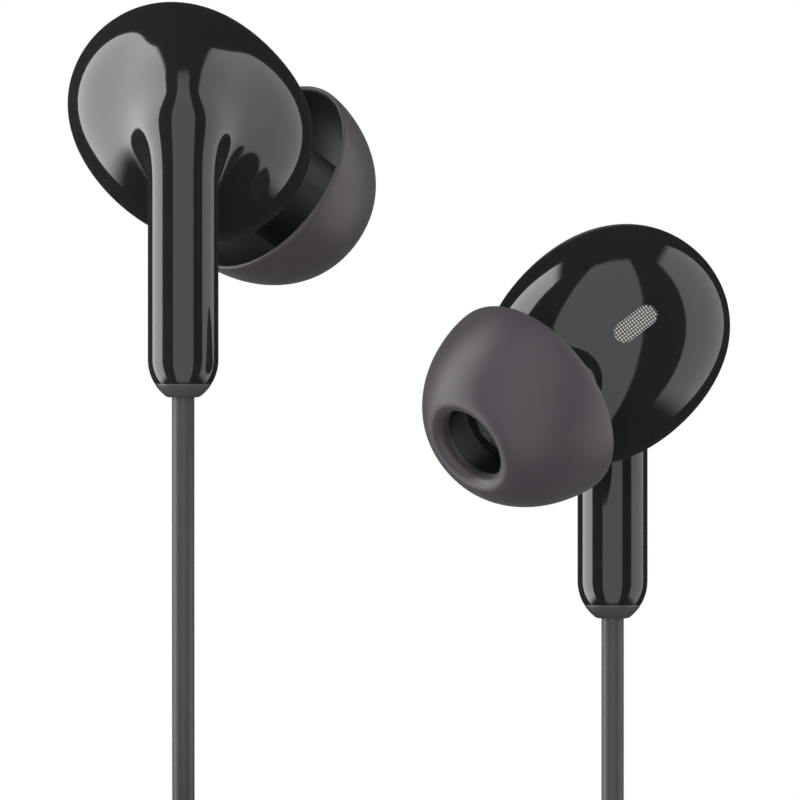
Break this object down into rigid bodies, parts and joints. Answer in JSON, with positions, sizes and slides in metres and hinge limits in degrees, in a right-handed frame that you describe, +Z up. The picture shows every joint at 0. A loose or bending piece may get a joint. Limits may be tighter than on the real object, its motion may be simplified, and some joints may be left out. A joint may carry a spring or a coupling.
{
  "type": "wired earphones",
  "caption": "Wired in-ear earphones: glossy black buds with stems and silicone tips, a Y cord coiled and tied, and a 3.5 mm plug.",
  "frame": {"origin": "middle of the left ear tip's mouth, where the ear canal holds the bud", "axes": "+Z up along the stems, +X from the left bud to the right one, -Y to the front, which the left bud's outer face and the right bud's ear tip look at"},
  "size_m": [0.0429, 0.0656, 0.0762],
  "materials": {
    "gloss_shell": "gloss, piano-black moulded ABS",
    "satin_plastic": "satin moulded plastic",
    "black_plastic": "satin moulded plastic",
    "silicone": "satin silicone rubber",
    "woven_mesh": "fine woven steel mesh",
    "cord_jacket": "satin TPE jacket",
    "tie_strap": "woven strap",
    "plated_steel": "nickel-plated steel",
    "magnet": "nickel-plated neodymium",
    "copper": "enamelled copper",
    "film": "clear amber polyester film",
    "circuit_board": "solder mask on glass-epoxy board",
    "aluminium": "crimped ferrule",
    "gold_plate": "gold-plated brass, polished",
    "band_plastic": "black insulating plastic"
  },
  "bodies": {
    "earphones": {"coil_tie": "tie_strap", "left_coil": "cord_jacket", "left_cord_crimp": "aluminium", "left_core_wires": "copper", "left_driver_basket": "black_plastic", "left_driver_cap": "plated_steel", "left_driver_magnet": "magnet", "left_driver_plate": "plated_steel", "left_driver_yoke": "plated_steel", "left_front_shell": "gloss_shell", "left_lead": "cord_jacket", "left_nozzle_mesh": "woven_mesh", "left_rear_shell": "gloss_shell", "left_stem_bush": "satin_plastic", "left_tail": "cord_jacket", "left_terminal_board": "circuit_board", "left_vent_mesh": "woven_mesh", "main_coil": "cord_jacket", "main_head": "cord_jacket", "main_tail": "cord_jacket", "plug_grip": "black_plastic", "plug_inner_band": "band_plastic", "plug_outer_band": "band_plastic", "plug_relief": "silicone", "plug_ring": "gold_plate", "plug_sleeve": "gold_plate", "plug_tip": "gold_plate", "right_coil": "cord_jacket", "right_cord_crimp": "aluminium", "right_core_wires": "copper", "right_driver_basket": "black_plastic", "right_driver_cap": "plated_steel", "right_driver_magnet": "magnet", "right_driver_plate": "plated_steel", "right_driver_yoke": "plated_steel", "right_front_shell": "gloss_shell", "right_lead": "cord_jacket", "right_nozzle_mesh": "woven_mesh", "right_rear_shell": "gloss_shell", "right_stem_bush": "satin_plastic", "right_tail": "cord_jacket", "right_terminal_board": "circuit_board", "right_vent_mesh": "woven_mesh", "splitter": "black_plastic"},
    "left_tip": {"left_eartip": "silicone"},
    "left_cone": {"left_voice_coil": "copper", "left_diaphragm": "film"},
    "right_tip": {"right_eartip": "silicone"},
    "right_cone": {"right_voice_coil": "copper", "right_diaphragm": "film"}
  },
  "joints": [
    {"name": "left_tip_slide", "type": "slide", "parent": "earphones", "child": "left_tip", "axis": [0.6552, 0.5756, -0.4894], "range_m": [0, 0.0065]},
    {"name": "right_tip_slide", "type": "slide", "parent": "earphones", "child": "right_tip", "axis": [-0.6552, -0.5756, -0.4894], "range_m": [0, 0.0065]},
    {"name": "left_cone_travel", "type": "slide", "parent": "earphones", "child": "left_cone", "axis": [0, 1, 0], "range_m": [-0.00015, 0.00015], "stiffness_N_per_m": 20},
    {"name": "right_cone_travel", "type": "slide", "parent": "earphones", "child": "right_cone", "axis": [0, -1, 0], "range_m": [-0.00015, 0.00015], "stiffness_N_per_m": 20}
  ]
}
